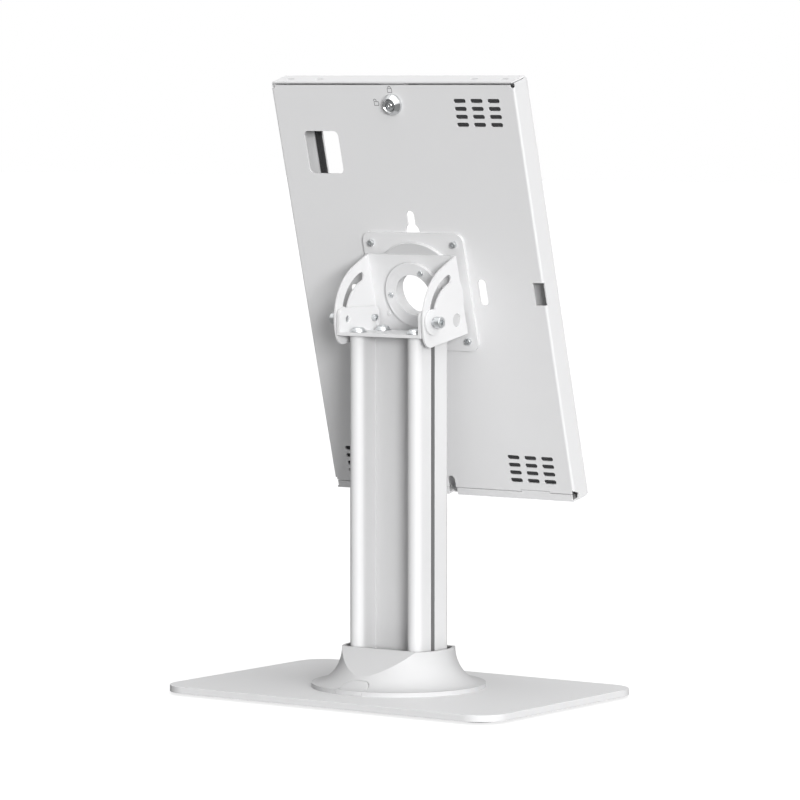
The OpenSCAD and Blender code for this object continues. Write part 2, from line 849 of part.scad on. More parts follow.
// Four cylinder-head screws that fix the adapter plate to the case
module plate_screws() {
  color(steel)
  lean()
    at_plate_screws()
      difference() {
        union() {
          peg_y(plate_screw_d / 2, -sheet_t - nut_h - 1, plate_t + 0.01);
          peg_y(plate_head_r, plate_t, plate_t + plate_head_h);
        }
        hex_y(plate_head_r * 0.45, plate_t + plate_head_h * 0.5, plate_t + plate_head_h + eps);
      }
}

// Four nuts inside the case
module plate_nuts() {
  color(steel)
  lean()
    at_plate_screws()
      difference() {
        hex_y(nut_r, -sheet_t - nut_h, -sheet_t);
        peg_y(plate_screw_d / 2 + hole_gap / 2, -sheet_t - nut_h - eps, -sheet_t + eps);
      }
}

// One group of vent slots, three across and four up
module vent_group() {
  for (i = [-1 : 1], k = [-1.5 : 1.5])
    translate([i * vent_pitch_u, 0, k * vent_pitch_v])
      slot_y(vent_len, vent_w, -sheet_t - eps, eps);
}

// Back sheet of the case with its two folded side walls
module back_shell() {
  wall_d = front_in - slip_gap;
  color(white)
  lean()
    difference() {
      union() {
        translate([-half_w + bend_r, -sheet_t, back_low])
          cube([case_w - 2 * bend_r, sheet_t, back_top - back_low]);
        both_sides() {
          translate([wall_in, -wall_d, -half_h]) cube([sheet_t, wall_d - bend_r, back_top + half_h + 1]);
          fold(back_low, back_top);
        }
      }
      shell_holes();
      // Slanted lower corners of the side walls
      both_sides()
        translate([wall_in - eps, -bend_r - 2, -half_h])
          rotate([30, 0, 0]) translate([0, 0, -lip_h]) cube([sheet_t + 2 * eps, 3 * lip_h, 2 * lip_h]);
    }
}

// Rounded fold between the back sheet and a side wall
module fold(z0, z1) {
  translate([half_w - bend_r, -bend_r, z0])
    difference() {
      intersection() {
        cylinder(r = bend_r, h = z1 - z0);
        cube([bend_r + eps, bend_r + eps, z1 - z0]);
      }
      translate([0, 0, -eps]) cylinder(r = bend_r - sheet_t, h = z1 - z0 + 2 * eps);
    }
}

// Keyhole in the back sheet with its narrow end up, at the middle of its round end
module keyhole() {
  peg_y(key_hole_r, -sheet_t - eps, eps);
  translate([0, 0, key_len]) peg_y(key_slot_r, -sheet_t - eps, eps);
  translate([-key_slot_r, -sheet_t - eps, 0]) cube([2 * key_slot_r, sheet_t + 2 * eps, key_len]);
}

// Every hole in the back sheet
module shell_holes() {
  peg_y(sheet_hole_r, -sheet_t - eps, eps);
  at_plate_screws() peg_y(plate_screw_d / 2 + hole_gap, -sheet_t - eps, eps);
  for (p = [[-vent_u, vent_v], [-vent_u, -vent_v], [vent_u, -vent_v]])
    translate([p[0], 0, p[1]]) vent_group();
  translate([cam_win_u, 0, cam_win_v]) slab_y(cam_win_w, cam_win_h, cam_win_r, -sheet_t - eps, eps);
  // Keyholes above and beside the hub, for hanging upright or sideways, and plain slots opposite them
  translate([0, 0, key_v]) keyhole();
  rotate([0, 90, 0]) translate([0, 0, side_key_u]) keyhole();
  for (a = [90, 180])
    rotate([0, a, 0]) translate([wall_slot_at, 0, 0]) rotate([0, 90, 0])
      slot_y(wall_slot_len, wall_slot_w, -sheet_t - eps, eps);
  // Cable notches at the side and the bottom
  translate([-half_w - eps, -bend_r - 0.7, -side_notch_h / 2])
    cube([side_notch_w + eps, bend_r + 0.7 + eps, side_notch_h]);
  translate([-low_notch_w / 2, -sheet_t - eps, back_low - eps])
    cube([low_notch_w, sheet_t + 2 * eps, low_notch_h - low_notch_w / 2 + eps]);
  translate([0, 0, back_low + low_notch_h - low_notch_w / 2])
    peg_y(low_notch_w / 2, -sheet_t - eps, eps);
  // Room for the hook tabs of the frame
  both_sides()
    translate([hook_u - hook_w / 2 - hook_gap, -sheet_t - eps, back_low - eps])
      cube([hook_w + 2 * hook_gap, sheet_t + 2 * eps, hook_h + eps]);
  // Relief holes in the upper corners
  both_sides()
    translate([half_w - bend_r, 0, back_top - bend_r / 2])
      peg_y(bend_r * 0.95, -sheet_t - bend_r - eps, eps);
  translate([0, 0, lock_v]) peg_y(barrel_r + hole_gap, -sheet_t - eps, eps);
}

// Foam blocks beside the tablet
module side_spacers() {
  color(black)
  lean()
    for (s = [-1, 1], k = [-1, 1])
      translate([s * (bay_w / 2 + side_pad_w / 2), 0, k * side_pad_v])
        slab_y(side_pad_w, side_pad_len, 2, -sheet_t - pad_t, -sheet_t);
}

// Foam blocks above and below the tablet
module end_spacers() {
  color(black)
  lean()
    for (s = [-1, 1], k = [-1, 1])
      translate([s * end_pad_u, 0, k * (bay_h / 2 + end_pad_h / 2)])
        slab_y(end_pad_len, end_pad_h, 2, -sheet_t - pad_t, -sheet_t);
}

// Round foam pads behind the tablet
module back_pads() {
  color(black)
  lean()
    for (s = [-1, 1], k = [-1, 1])
      translate([s * bay_w / 4, 0, k * bay_h / 3])
        peg_y(back_pad_d / 2, -sheet_t - back_pad_t, -sheet_t);
}

// Lock housing with a bevelled head
module lock_body() {
  color(chrome)
  lean() translate([0, 0, lock_v])
    difference() {
      union() {
        peg_y(barrel_r, -barrel_n, 0.01);
        peg_y(lock_head_r, 0, lock_head_h * 0.45);
        translate([0, lock_head_h * 0.45 - 0.01, 0]) rotate([-90, 0, 0])
          cylinder(r1 = lock_head_r, r2 = plug_r + 1.2, h = lock_head_h * 0.55);
      }
      peg_y(plug_r + run_gap, -barrel_n - eps, lock_head_h + eps);
    }
}

// Nut that holds the lock in the back sheet
module lock_nut() {
  color(steel)
  lean() translate([0, 0, lock_v])
    difference() {
      hex_y(lock_nut_r, -catch_n + 1, -sheet_t);
      peg_y(barrel_r + hole_gap / 2, -catch_n, 0);
    }
}

// Turning plug with a round keyway
module lock_plug() {
  face = lock_head_h - 0.3;
  color(chrome)
  lean() translate([0, 0, lock_v])
    difference() {
      union() {
        peg_y(plug_r, -cam_n, face);
        peg_y(plug_r * 0.6, -cam_n - cam_t, -cam_n + 0.01);
      }
      difference() {
        peg_y(plug_r * 0.78, face - 3, face + eps);
        peg_y(plug_r * 0.5, face - 3 - eps, face + 2 * eps);
      }
      translate([-plug_r * 0.12, face - 3, 0]) cube([plug_r * 0.24, 3 + eps, plug_r * 0.92]);
      peg_y(1.3, -cam_n - cam_t - eps, -cam_n + 4);
    }
}

// Cam that hooks behind the frame's catch, shown turned to the open side
module lock_cam() {
  color(steel)
  lean() translate([0, 0, lock_v])
    difference() {
      union() {
        peg_y(barrel_r + 0.6, -cam_n - cam_t, -cam_n);
        translate([0, -cam_n - cam_t, -cam_w / 2]) cube([cam_reach - 2, cam_t, cam_w]);
        translate([cam_reach - 2, -cam_n - cam_t, -cam_w / 2 + 2]) cube([2, cam_t, cam_w - 4]);
        for (z = [-1, 1])
          translate([cam_reach - 2, 0, z * (cam_w / 2 - 2)]) peg_y(2, -cam_n - cam_t, -cam_n);
      }
      peg_y(plug_r * 0.6 + hole_gap / 2, -cam_n - cam_t - eps, -cam_n + eps);
    }
}

// Screw that holds the cam on the plug
module cam_screw() {
  color(steel)
  lean() translate([0, 0, lock_v])
    difference() {
      union() {
        peg_y(1.2, -cam_n - cam_t - 0.01, -cam_n + 3);
        peg_y(3.4, -cam_n - cam_t - 1.6, -cam_n - cam_t);
      }
      translate([-0.4, -cam_n - cam_t - 1.6 - eps, -4]) cube([0.8, 0.6 + eps, 8]);
    }
}

// Front frame: face with the window, top and bottom walls and the lip that hooks the back
module front_frame() {
  color(white)
  lean()
    difference() {
      union() {
        slab_y(case_w, case_h, bend_r, -case_d, -front_in);
        translate([-frame_u, -front_in - 0.01, half_h - sheet_t]) cube([2 * frame_u, front_in, sheet_t]);
        translate([-frame_u, -front_in - 0.01, -half_h]) cube([2 * frame_u, front_in, sheet_t]);
        translate([-frame_u + 1, -sheet_t, -half_h]) cube([2 * frame_u - 2, sheet_t, lip_h]);
        both_sides() {
          translate([hook_u - hook_w / 2, -sheet_t, -half_h])
            cube([hook_w, sheet_t, back_low + half_h + hook_h - hook_gap]);
          translate([frame_u - sheet_t, -front_in - 0.01, -half_h + lip_h])
            cube([sheet_t, 5, case_h - 2 * lip_h]);
        }
      }
      slab_y(window_w, window_h, window_r, -case_d - eps, -front_in + eps);
      // Four narrow slots in the top wall
      for (s = [-1, 1], inset = top_slot_insets)
        translate([s * (half_w - inset), -case_d * 0.45, half_h]) rotate([90, 0, 0])
          slot_y(7.5, 2.6, -sheet_t - eps, sheet_t + eps);
      // Cable notch in the lip
      translate([-low_notch_w / 2 - 0.75, -front_in / 3, -half_h - eps])
        cube([low_notch_w + 1.5, front_in / 3 + eps, lip_h + 2 * eps]);
    }
}

// Catch welded under the frame's top wall, which the cam hooks
module frame_catch() {
  top = half_h - sheet_t;
  color(white)
  lean() {
    translate([-catch_w / 2, -catch_n - sheet_t, catch_v]) cube([catch_w, sheet_t, top - catch_v]);
    translate([-catch_w / 2, -catch_n - 0.01, top - sheet_t]) cube([catch_w, 0.01 + catch_leg, sheet_t]);
  }
}

// Foam strip around the inside of the window
module window_gasket() {
  color(black)
  lean()
    difference() {
      slab_y(window_w + 2 * gasket_w, window_h + 2 * gasket_w, window_r, -front_in, -front_in + gasket_t);
      slab_y(window_w + 0.6, window_h + 0.6, window_r, -front_in - eps, -front_in + gasket_t + eps);
    }
}

base_plate();
feet();
base_screws();
column();
collar();
cable_door();
head_bracket();
head_screws();
pivot_screws();
pivot_bushes();
clamp_bolts();
clamp_washers();
tilt_bracket();
limit_pin();
adapter_plate();
hub();
hub_flange();
hub_screws();
slip_washers();
plate_screws();
plate_nuts();
back_shell();
side_spacers();
end_spacers();
back_pads();
lock_body();
lock_nut();
lock_plug();
lock_cam();
cam_screw();
front_frame();
frame_catch();
window_gasket();
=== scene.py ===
"""Looks of a lockable tablet stand: coated steel, moulded collar, zinc screws, chrome lock, foam pads."""

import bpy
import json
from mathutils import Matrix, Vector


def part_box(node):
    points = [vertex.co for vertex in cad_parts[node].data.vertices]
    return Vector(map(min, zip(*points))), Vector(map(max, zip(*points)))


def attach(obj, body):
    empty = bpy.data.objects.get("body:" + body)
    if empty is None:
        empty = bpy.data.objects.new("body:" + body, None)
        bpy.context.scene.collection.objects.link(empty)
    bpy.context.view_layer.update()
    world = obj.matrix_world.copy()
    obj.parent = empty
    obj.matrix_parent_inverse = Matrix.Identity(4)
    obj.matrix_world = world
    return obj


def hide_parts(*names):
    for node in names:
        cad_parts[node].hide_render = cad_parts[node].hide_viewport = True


bl_info = {
    "name": "Tablet counter stand",
    "version": (1, 0, 0),
    "blender": (4, 5, 0),
    "location": "3D View > Sidebar > Stand",
    "description": "Dresses the stand's frame in its finishes and sets it on a white floor",
    "category": "Object",
}

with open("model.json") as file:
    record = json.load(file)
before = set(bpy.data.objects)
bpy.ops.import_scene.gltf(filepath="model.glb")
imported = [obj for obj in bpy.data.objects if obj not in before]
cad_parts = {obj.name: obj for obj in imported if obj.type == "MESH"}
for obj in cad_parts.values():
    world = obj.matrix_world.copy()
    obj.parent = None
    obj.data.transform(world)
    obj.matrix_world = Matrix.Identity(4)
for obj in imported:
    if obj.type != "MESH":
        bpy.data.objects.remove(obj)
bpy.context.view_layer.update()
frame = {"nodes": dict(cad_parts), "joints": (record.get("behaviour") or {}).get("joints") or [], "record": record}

import json
import math

import bmesh
import bpy
from bpy.props import FloatProperty, FloatVectorProperty, IntProperty, PointerProperty
from mathutils import Matrix, Vector

MM = 0.001
joints = {j["name"]: j for j in frame["joints"]}


# Places read from the frame

def case_matrix():
    """Case coordinates, with Y towards the case's back and Z up along it, to the row frame."""
    along_x = Vector((1, 0, 0))
    to_back = Vector(joints["turn"]["axis"]).normalized()
    up = along_x.cross(to_back)
    axes = Matrix((along_x, to_back, up)).transposed().to_4x4()
    return Matrix.Translation(joints["turn"]["pos_m"]) @ axes


CASE = case_matrix()


def case_box(node):
    """Lowest and highest corner of a node in case coordinates."""
    to_case = CASE.inverted()
    points = [to_case @ v.co for v in frame["nodes"][node].data.vertices]
    low = Vector([min(p[i] for p in points) for i in range(3)])
    high = Vector([max(p[i] for p in points) for i in range(3)])
    return low, high


def lock_centre():
    """Where the lock's axis meets the case's back, in case coordinates."""
    return CASE.inverted() @ Vector(joints["key_turn"]["pos_m"])


def corner_pitch(low, high, radius):
    """Pitches between the four round pieces that fill the corners of a box."""
    size = high - low
    return {"Pitch X": size.x - 2 * radius, "Pitch Y": size.y - 2 * radius}


def on_back(u, n, v):
    """Sets a piece drawn along +Z on the case's back, its X kept and its Y pointing down."""
    return CASE @ Matrix.Translation((u, n, v)) @ Matrix.Rotation(-math.pi / 2, 4, "X")


def sideways(side, x, y, z):
    """Sets a piece drawn along +Z at a place beside the middle, looking along side * X."""
    return Matrix.Translation((side * x, y, z)) @ Matrix.Rotation(side * math.pi / 2, 4, "Y")


# Meshes

WELD_MM = 0.06  # points of a node that lie closer together than this become one
FLAT_DEG = 0.1  # faces of a node that meet at a smaller angle than this become one


def round_ring(radius, height, count):
    """Circle of count points at a height."""
    angles = [i * (2 * math.pi / count) for i in range(count)]
    return [Vector((radius * math.cos(a), radius * math.sin(a), height)) for a in angles]


def hex_ring(across, height, count):
    """Hexagon of a size across its flats, with count points along it."""
    wedge = math.pi / 3
    points = []
    for i in range(count):
        angle = 2 * math.pi * i / count
        off = (angle + wedge / 2) % wedge - wedge / 2
        radius = across / 2 / math.cos(off)
        points.append(Vector((radius * math.cos(angle), radius * math.sin(angle), height)))
    return points


def loft(bm, rings, closed=False):
    """Skin over rings of equal count, capped at both ends or closed from the last to the first."""
    rows = [[bm.verts.new(p) for p in ring] for ring in rings]
    pairs = list(zip(rows, rows[1:]))
    if closed:
        pairs.append((rows[-1], rows[0]))
    for low, high in pairs:
        for i, corner in enumerate(low):
            after = (i + 1) % len(low)
            bm.faces.new((corner, low[after], high[after], high[i]))
    if not closed:
        bm.faces.new(list(reversed(rows[0])))
        bm.faces.new(rows[-1])


def turned(bm, profile, count, closed=False):
    """Solid of revolution from (radius, height) points."""
    loft(bm, [round_ring(r, z, count) for r, z in profile], closed)


def rounded_edge(radius, height, edge, steps=4):
    """Quarter-round steps that end a turned profile of a radius at a height."""
    angles = [math.pi / 2 * i / steps for i in range(steps + 1)]
    return [(radius - edge + edge * math.cos(a), height + (edge * math.sin(a) - edge)) for a in angles]


def mesh_from(bm, name, matrix=None):
    """Mesh from a bmesh, its place applied and its faces pointing outwards."""
    if matrix is not None:
        bmesh.ops.transform(bm, matrix=matrix, verts=bm.verts)
    bmesh.ops.recalc_face_normals(bm, faces=bm.faces)
    mesh = bpy.data.meshes.new(name)
    bm.to_mesh(mesh)
    bm.free()
    return mesh


def apply_modifiers(obj):
    """Turns a piece with modifiers into a plain mesh."""
    depsgraph = bpy.context.evaluated_depsgraph_get()
    plain = bpy.data.meshes.new_from_object(obj.evaluated_get(depsgraph), depsgraph=depsgraph)
    plain.name = obj.name
    obj.modifiers.clear()
    obj.data = plain


def shade(obj, crease_deg=40):
    """Smooth faces with creases, and normals that keep the large faces flat."""
    mesh = obj.data
    mesh.shade_smooth()
    mesh.set_sharp_from_angle(angle=math.radians(crease_deg))
    weighted = obj.modifiers.new("flat faces", "WEIGHTED_NORMAL")
    weighted.mode = "FACE_AREA"
    weighted.keep_sharp = True
    apply_modifiers(obj)


def add_object(name, mesh, material):
    """Object in the scene with its material."""
    obj = bpy.data.objects.new(name, mesh)
    bpy.context.scene.collection.objects.link(obj)
    obj.data.materials.clear()
    obj.data.materials.append(material)
    return obj


def stand_for(obj, node):
    """Lets a piece ride with a node's body and replace the node."""
    members = frame["record"]["behaviour"]["bodies"]
    owner = next(b for b, names in members.items() if node in names)
    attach(obj, owner)
    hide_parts(node)
    return obj


def softened(node, material, edge_mm, sharp_deg=32, segments=2):
    """Copy of a node whose edges are rounded, as pressed, moulded or coated pieces have them."""
    bm = bmesh.new()
    bm.from_mesh(frame["nodes"][node].data)
    bmesh.ops.remove_doubles(bm, verts=bm.verts, dist=WELD_MM * MM)
    bmesh.ops.dissolve_limit(
        bm, angle_limit=math.radians(FLAT_DEG), use_dissolve_boundaries=False,
        verts=bm.verts, edges=bm.edges, delimit=set(),
    )
    limit = math.radians(sharp_deg)
    edges = [e for e in bm.edges if len(e.link_faces) == 2 and e.calc_face_angle(0) > limit]
    bmesh.ops.bevel(
        bm, geom=edges, offset=edge_mm * MM, offset_type="OFFSET", segments=segments,
        profile=0.5, affect="EDGES", clamp_overlap=True, loop_slide=True,
    )
    obj = add_object(node + "_finished", mesh_from(bm, node), material)
    shade(obj, crease_deg=50)
    return stand_for(obj, node)


# Shader nodes

COLOUR = "NodeSocketColor"
NUMBER = "NodeSocketFloat"


def feed(tree, value, socket):
    """Links an output to an input, or sets the input to a number or a colour."""
    if isinstance(value, bpy.types.NodeSocket):
        tree.links.new(value, socket)
    else:
        socket.default_value = value


def noise(tree, vector, scale, detail=2.0, roughness=0.5):
    """Noise texture on a vector."""
    node = tree.nodes.new("ShaderNodeTexNoise")
    values = {"Vector": vector, "Scale": scale, "Detail": detail, "Roughness": roughness}
    for name, value in values.items():
        feed(tree, value, node.inputs[name])
    return node.outputs["Fac"]


def maths(tree, operation, *values):
    """Math node on sockets or numbers."""
    node = tree.nodes.new("ShaderNodeMath")
    node.operation = operation
    for socket, value in zip(node.inputs, values):
        feed(tree, value, socket)
    return node.outputs[0]


def spread(tree, value, low, high, start=0.0, stop=1.0, smooth=False):
    """Goes from low to high, sockets or numbers, while a value goes from start to stop."""
    node = tree.nodes.new("ShaderNodeMapRange")
    if smooth:
        node.interpolation_type = "SMOOTHSTEP"
    values = {"Value": value, "From Min": start, "From Max": stop, "To Min": low, "To Max": high}
    for name, end in values.items():
        feed(tree, end, node.inputs[name])
    return node.outputs["Result"]


def blend(tree, share, first, second, kind="MIX"):
    """Colour between the first and the second, or the first with the second laid over it."""
    node = tree.nodes.new("ShaderNodeMix")
    node.data_type = "RGBA"
    node.blend_type = kind
    for name, value in (("Factor", share), ("A", first), ("B", second)):
        feed(tree, value, node.inputs[name])
    return node.outputs["Result"]


def object_place(tree):
    """Object coordinates."""
    return tree.nodes.new("ShaderNodeTexCoord").outputs["Object"]


def shader_group(name, inputs, outputs):
    """New node group with its sockets, inputs as (name, type, default) and outputs as (name, type)."""
    tree = bpy.data.node_groups.new(name, "ShaderNodeTree")
    for label, kind, default in inputs:
        socket = tree.interface.new_socket(name=label, in_out="INPUT", socket_type=kind)
        socket.default_value = default
    for label, kind in outputs:
        tree.interface.new_socket(name=label, in_out="OUTPUT", socket_type=kind)
    return tree, tree.nodes.new("NodeGroupInput"), tree.nodes.new("NodeGroupOutput")


def surface_grain():
    """Group: a fine relief, a faint mottle and an uneven sheen, on Object coordinates."""
    name = "Surface grain"
    if name in bpy.data.node_groups:
        return bpy.data.node_groups[name]
    tree, start, end = shader_group(
        name,
        [
            ("Light Colour", COLOUR, (0.8, 0.8, 0.8, 1)),
            ("Dark Colour", COLOUR, (0.7, 0.7, 0.7, 1)),
            ("Grains per Metre", NUMBER, 900.0),
            ("Mottles per Metre", NUMBER, 14.0),
            ("Roughness", NUMBER, 0.4),
            ("Roughness Spread", NUMBER, 0.06),
        ],
        [("Colour", COLOUR), ("Roughness", NUMBER), ("Height", NUMBER)],
    )
    given = start.outputs
    place = object_place(tree)
    fine = noise(tree, place, given["Grains per Metre"], detail=3.0, roughness=0.55)
    broad = noise(tree, place, given["Mottles per Metre"], detail=3.0, roughness=0.6)
    half = maths(tree, "MULTIPLY", given["Roughness Spread"], 0.5)
    lowest = maths(tree, "SUBTRACT", given["Roughness"], half)
    highest = maths(tree, "ADD", given["Roughness"], half)
    feed(tree, blend(tree, broad, given["Dark Colour"], given["Light Colour"]), end.inputs["Colour"])
    feed(tree, spread(tree, broad, lowest, highest), end.inputs["Roughness"])
    feed(tree, fine, end.inputs["Height"])
    return tree


def brushed_lines():
    """Group: drawn lines of turned or plated metal, on Object coordinates."""
    name = "Drawn lines"
    if name in bpy.data.node_groups:
        return bpy.data.node_groups[name]
    along_lines, patches_per_metre = 0.35, 260.0
    tree, start, end = shader_group(
        name,
        [
            ("Light Colour", COLOUR, (0.8, 0.8, 0.8, 1)),
            ("Dark Colour", COLOUR, (0.5, 0.5, 0.5, 1)),
            ("Lines per Metre", NUMBER, 2500.0),
            ("Roughness", NUMBER, 0.3),
            ("Roughness Spread", NUMBER, 0.2),
        ],
        [("Colour", COLOUR), ("Roughness", NUMBER), ("Height", NUMBER)],
    )
    given = start.outputs
    place = object_place(tree)
    stretch = tree.nodes.new("ShaderNodeMapping")
    stretch.inputs["Scale"].default_value = (1.0, along_lines, 1.0)
    feed(tree, place, stretch.inputs["Vector"])
    stretched = stretch.outputs["Vector"]
    lines = noise(tree, stretched, given["Lines per Metre"], detail=4.0, roughness=0.7)
    patches = noise(tree, place, patches_per_metre)
    highest = maths(tree, "ADD", given["Roughness"], given["Roughness Spread"])
    feed(tree, blend(tree, patches, given["Dark Colour"], given["Light Colour"]), end.inputs["Colour"])
    feed(tree, spread(tree, patches, given["Roughness"], highest), end.inputs["Roughness"])
    feed(tree, lines, end.inputs["Height"])
    return tree


def open_cells():
    """Group: the pores of cut foam, on Object coordinates."""
    name = "Foam cells"
    if name in bpy.data.node_groups:
        return bpy.data.node_groups[name]
    tree, start, end = shader_group(
        name,
        [
            ("Light Colour", COLOUR, (0.1, 0.1, 0.1, 1)),
            ("Dark Colour", COLOUR, (0.02, 0.02, 0.02, 1)),
            ("Cells per Metre", NUMBER, 900.0),
        ],
        [("Colour", COLOUR), ("Height", NUMBER)],
    )
    given = start.outputs
    cells = tree.nodes.new("ShaderNodeTexVoronoi")
    cells.feature = "F1"
    feed(tree, object_place(tree), cells.inputs["Vector"])
    feed(tree, given["Cells per Metre"], cells.inputs["Scale"])
    pores = cells.outputs["Distance"]
    feed(tree, blend(tree, pores, given["Dark Colour"], given["Light Colour"]), end.inputs["Colour"])
    feed(tree, pores, end.inputs["Height"])
    return tree


# Materials

def finish(name, group, values, relief_mm, metallic=0.0, specular=0.5, rough=None):
    """Material with one of the groups on its base colour, roughness and relief."""
    if name in bpy.data.materials:
        return bpy.data.materials[name]
    material = bpy.data.materials.new(name)
    material.use_nodes = True
    tree = material.node_tree
    shader = tree.nodes["Principled BSDF"]
    used = tree.nodes.new("ShaderNodeGroup")
    used.node_tree = group
    for key, value in values.items():
        used.inputs[key].default_value = value
    tree.links.new(used.outputs["Colour"], shader.inputs["Base Color"])
    if "Roughness" in used.outputs:
        tree.links.new(used.outputs["Roughness"], shader.inputs["Roughness"])
    if rough is not None:
        shader.inputs["Roughness"].default_value = rough
    bump = tree.nodes.new("ShaderNodeBump")
    bump.inputs["Distance"].default_value = relief_mm * MM
    bump.inputs["Strength"].default_value = 1.0
    tree.links.new(used.outputs["Height"], bump.inputs["Height"])
    tree.links.new(bump.outputs["Normal"], shader.inputs["Normal"])
    shader.inputs["Metallic"].default_value = metallic
    shader.inputs["Specular IOR Level"].default_value = specular
    return material


def tint(colour, share):
    """A colour scaled by a share, with alpha."""
    return (colour[0] * share, colour[1] * share, colour[2] * share, 1.0)


def powder_coat():
    """White powder coat with its fine orange peel."""
    s = bpy.context.scene.stand_coat
    return finish(
        "White powder coat", surface_grain(),
        {"Light Colour": tint(s.colour, 1.0), "Dark Colour": tint(s.colour, 0.975),
         "Grains per Metre": s.grains, "Roughness": s.roughness, "Roughness Spread": 0.08},
        relief_mm=s.relief_mm, specular=0.25,
    )


def column_coat_painted_shade():
    """Powder coat of the column, a little darker overall, with painted shade down in its cable groove and in its
    side slots.
    """
    s = bpy.context.scene.stand_coat
    name = "White powder coat of the column"
    if name in bpy.data.materials:
        return bpy.data.materials[name]
    # The painted shade in the groove grows over this distance below the groove's mouth.
    groove_shade_fade = 8 * MM
    slot_y, slot_reach = 1.5 * MM, 2.6 * MM
    slot_floor, slot_mouth = 25.0 * MM, 31.9 * MM

    material = powder_coat().copy()
    material.name = name
    tree = material.node_tree
    group = next(n for n in tree.nodes if n.type == "GROUP")
    for socket, share in (("Light Colour", 0.95), ("Dark Colour", 0.93)):
        group.inputs[socket].default_value = tint(s.colour, share)
    place = tree.nodes.new("ShaderNodeSeparateXYZ")
    feed(tree, object_place(tree), place.inputs[0])
    y = place.outputs["Y"]
    aside = maths(tree, "ABSOLUTE", place.outputs["X"])
    from_slot = maths(tree, "ABSOLUTE", maths(tree, "SUBTRACT", y, slot_y))
    # Painted shade in the cable groove: within its width, behind the middle, growing deeper down.
    groove = (
        maths(tree, "LESS_THAN", aside, s.groove_half),
        maths(tree, "GREATER_THAN", y, 0.0),
        spread(tree, y, 0.0, 1.0, s.groove_mouth, s.groove_mouth - groove_shade_fade, smooth=True),
    )
    # Painted shade in the side slots.
    slot = (
        maths(tree, "LESS_THAN", from_slot, slot_reach),
        maths(tree, "GREATER_THAN", aside, slot_floor),
        maths(tree, "LESS_THAN", aside, slot_mouth),
    )
    colour = group.outputs["Colour"]
    # Each mask multiplies the coat's colour by its tone, which paints the shade into the colour.
    for (first, second, third), tone in ((groove, s.groove_shade_tone), (slot, s.slot_shade_tone)):
        shade_mask = maths(tree, "MULTIPLY", maths(tree, "MULTIPLY", first, second), third)
        colour = blend(tree, shade_mask, colour, (tone, tone, tone, 1), "MULTIPLY")
    feed(tree, colour, tree.nodes["Principled BSDF"].inputs["Base Color"])
    return material


def moulded_white_painted_shade():
    """Satin moulded plastic with a finer grain than the coat; its white is the coat's, painted a little darker as
    shade against the strong light on the collar.
    """
    s = bpy.context.scene.stand_coat
    return finish(
        "Moulded white", surface_grain(),
        # Both colours sit below the coat's white: painted shade, not a darker plastic.
        {"Light Colour": tint(s.colour, 0.78), "Dark Colour": tint(s.colour, 0.765),
         "Grains per Metre": 2200.0, "Roughness": 0.46, "Roughness Spread": 0.05},
        relief_mm=0.004, specular=0.25,
    )


def zinc_plate():
    """Bright zinc on screws, bolts, nuts and the cam."""
    s = bpy.context.scene.stand_metal
    return finish(
        "Zinc plate", brushed_lines(),
        {"Light Colour": tint(s.zinc, 1.0), "Dark Colour": tint(s.zinc, 0.78),
         "Lines per Metre": 3000.0, "Roughness": 0.26, "Roughness Spread": 0.16},
        relief_mm=0.004, metallic=1.0,
    )


def lock_chrome():
    """Polished chrome of the lock."""
    s = bpy.context.scene.stand_metal
    return finish(
        "Lock chrome", brushed_lines(),
        {"Light Colour": tint(s.chrome, 1.0), "Dark Colour": tint(s.chrome, 0.85),
         "Lines per Metre": 4000.0, "Roughness": 0.1, "Roughness Spread": 0.08},
        relief_mm=0.0015, metallic=1.0,
    )


def foot_rubber():
    """Dark matte rubber."""
    return finish(
        "Foot rubber", surface_grain(),
        {"Light Colour": (0.035, 0.035, 0.036, 1), "Dark Colour": (0.02, 0.02, 0.021, 1),
         "Grains per Metre": 1500.0, "Roughness": 0.8, "Roughness Spread": 0.1},
        relief_mm=0.03, specular=0.3,
    )


def pad_foam():
    """Dark closed-cell foam."""
    return finish(
        "Pad foam", open_cells(),
        {"Light Colour": (0.06, 0.06, 0.062, 1), "Dark Colour": (0.025, 0.025, 0.026, 1),
         "Cells per Metre": 1400.0},
        relief_mm=0.18, specular=0.25, rough=0.92,
    )


def mark_ink():
    """Grey print of the lock's pictograms."""
    return finish(
        "Mark print", surface_grain(),
        {"Light Colour": (0.2, 0.2, 0.21, 1), "Dark Colour": (0.15, 0.15, 0.16, 1),
         "Grains per Metre": 2500.0, "Roughness": 0.6, "Roughness Spread": 0.1},
        relief_mm=0.003,
    )


# Repeated pieces

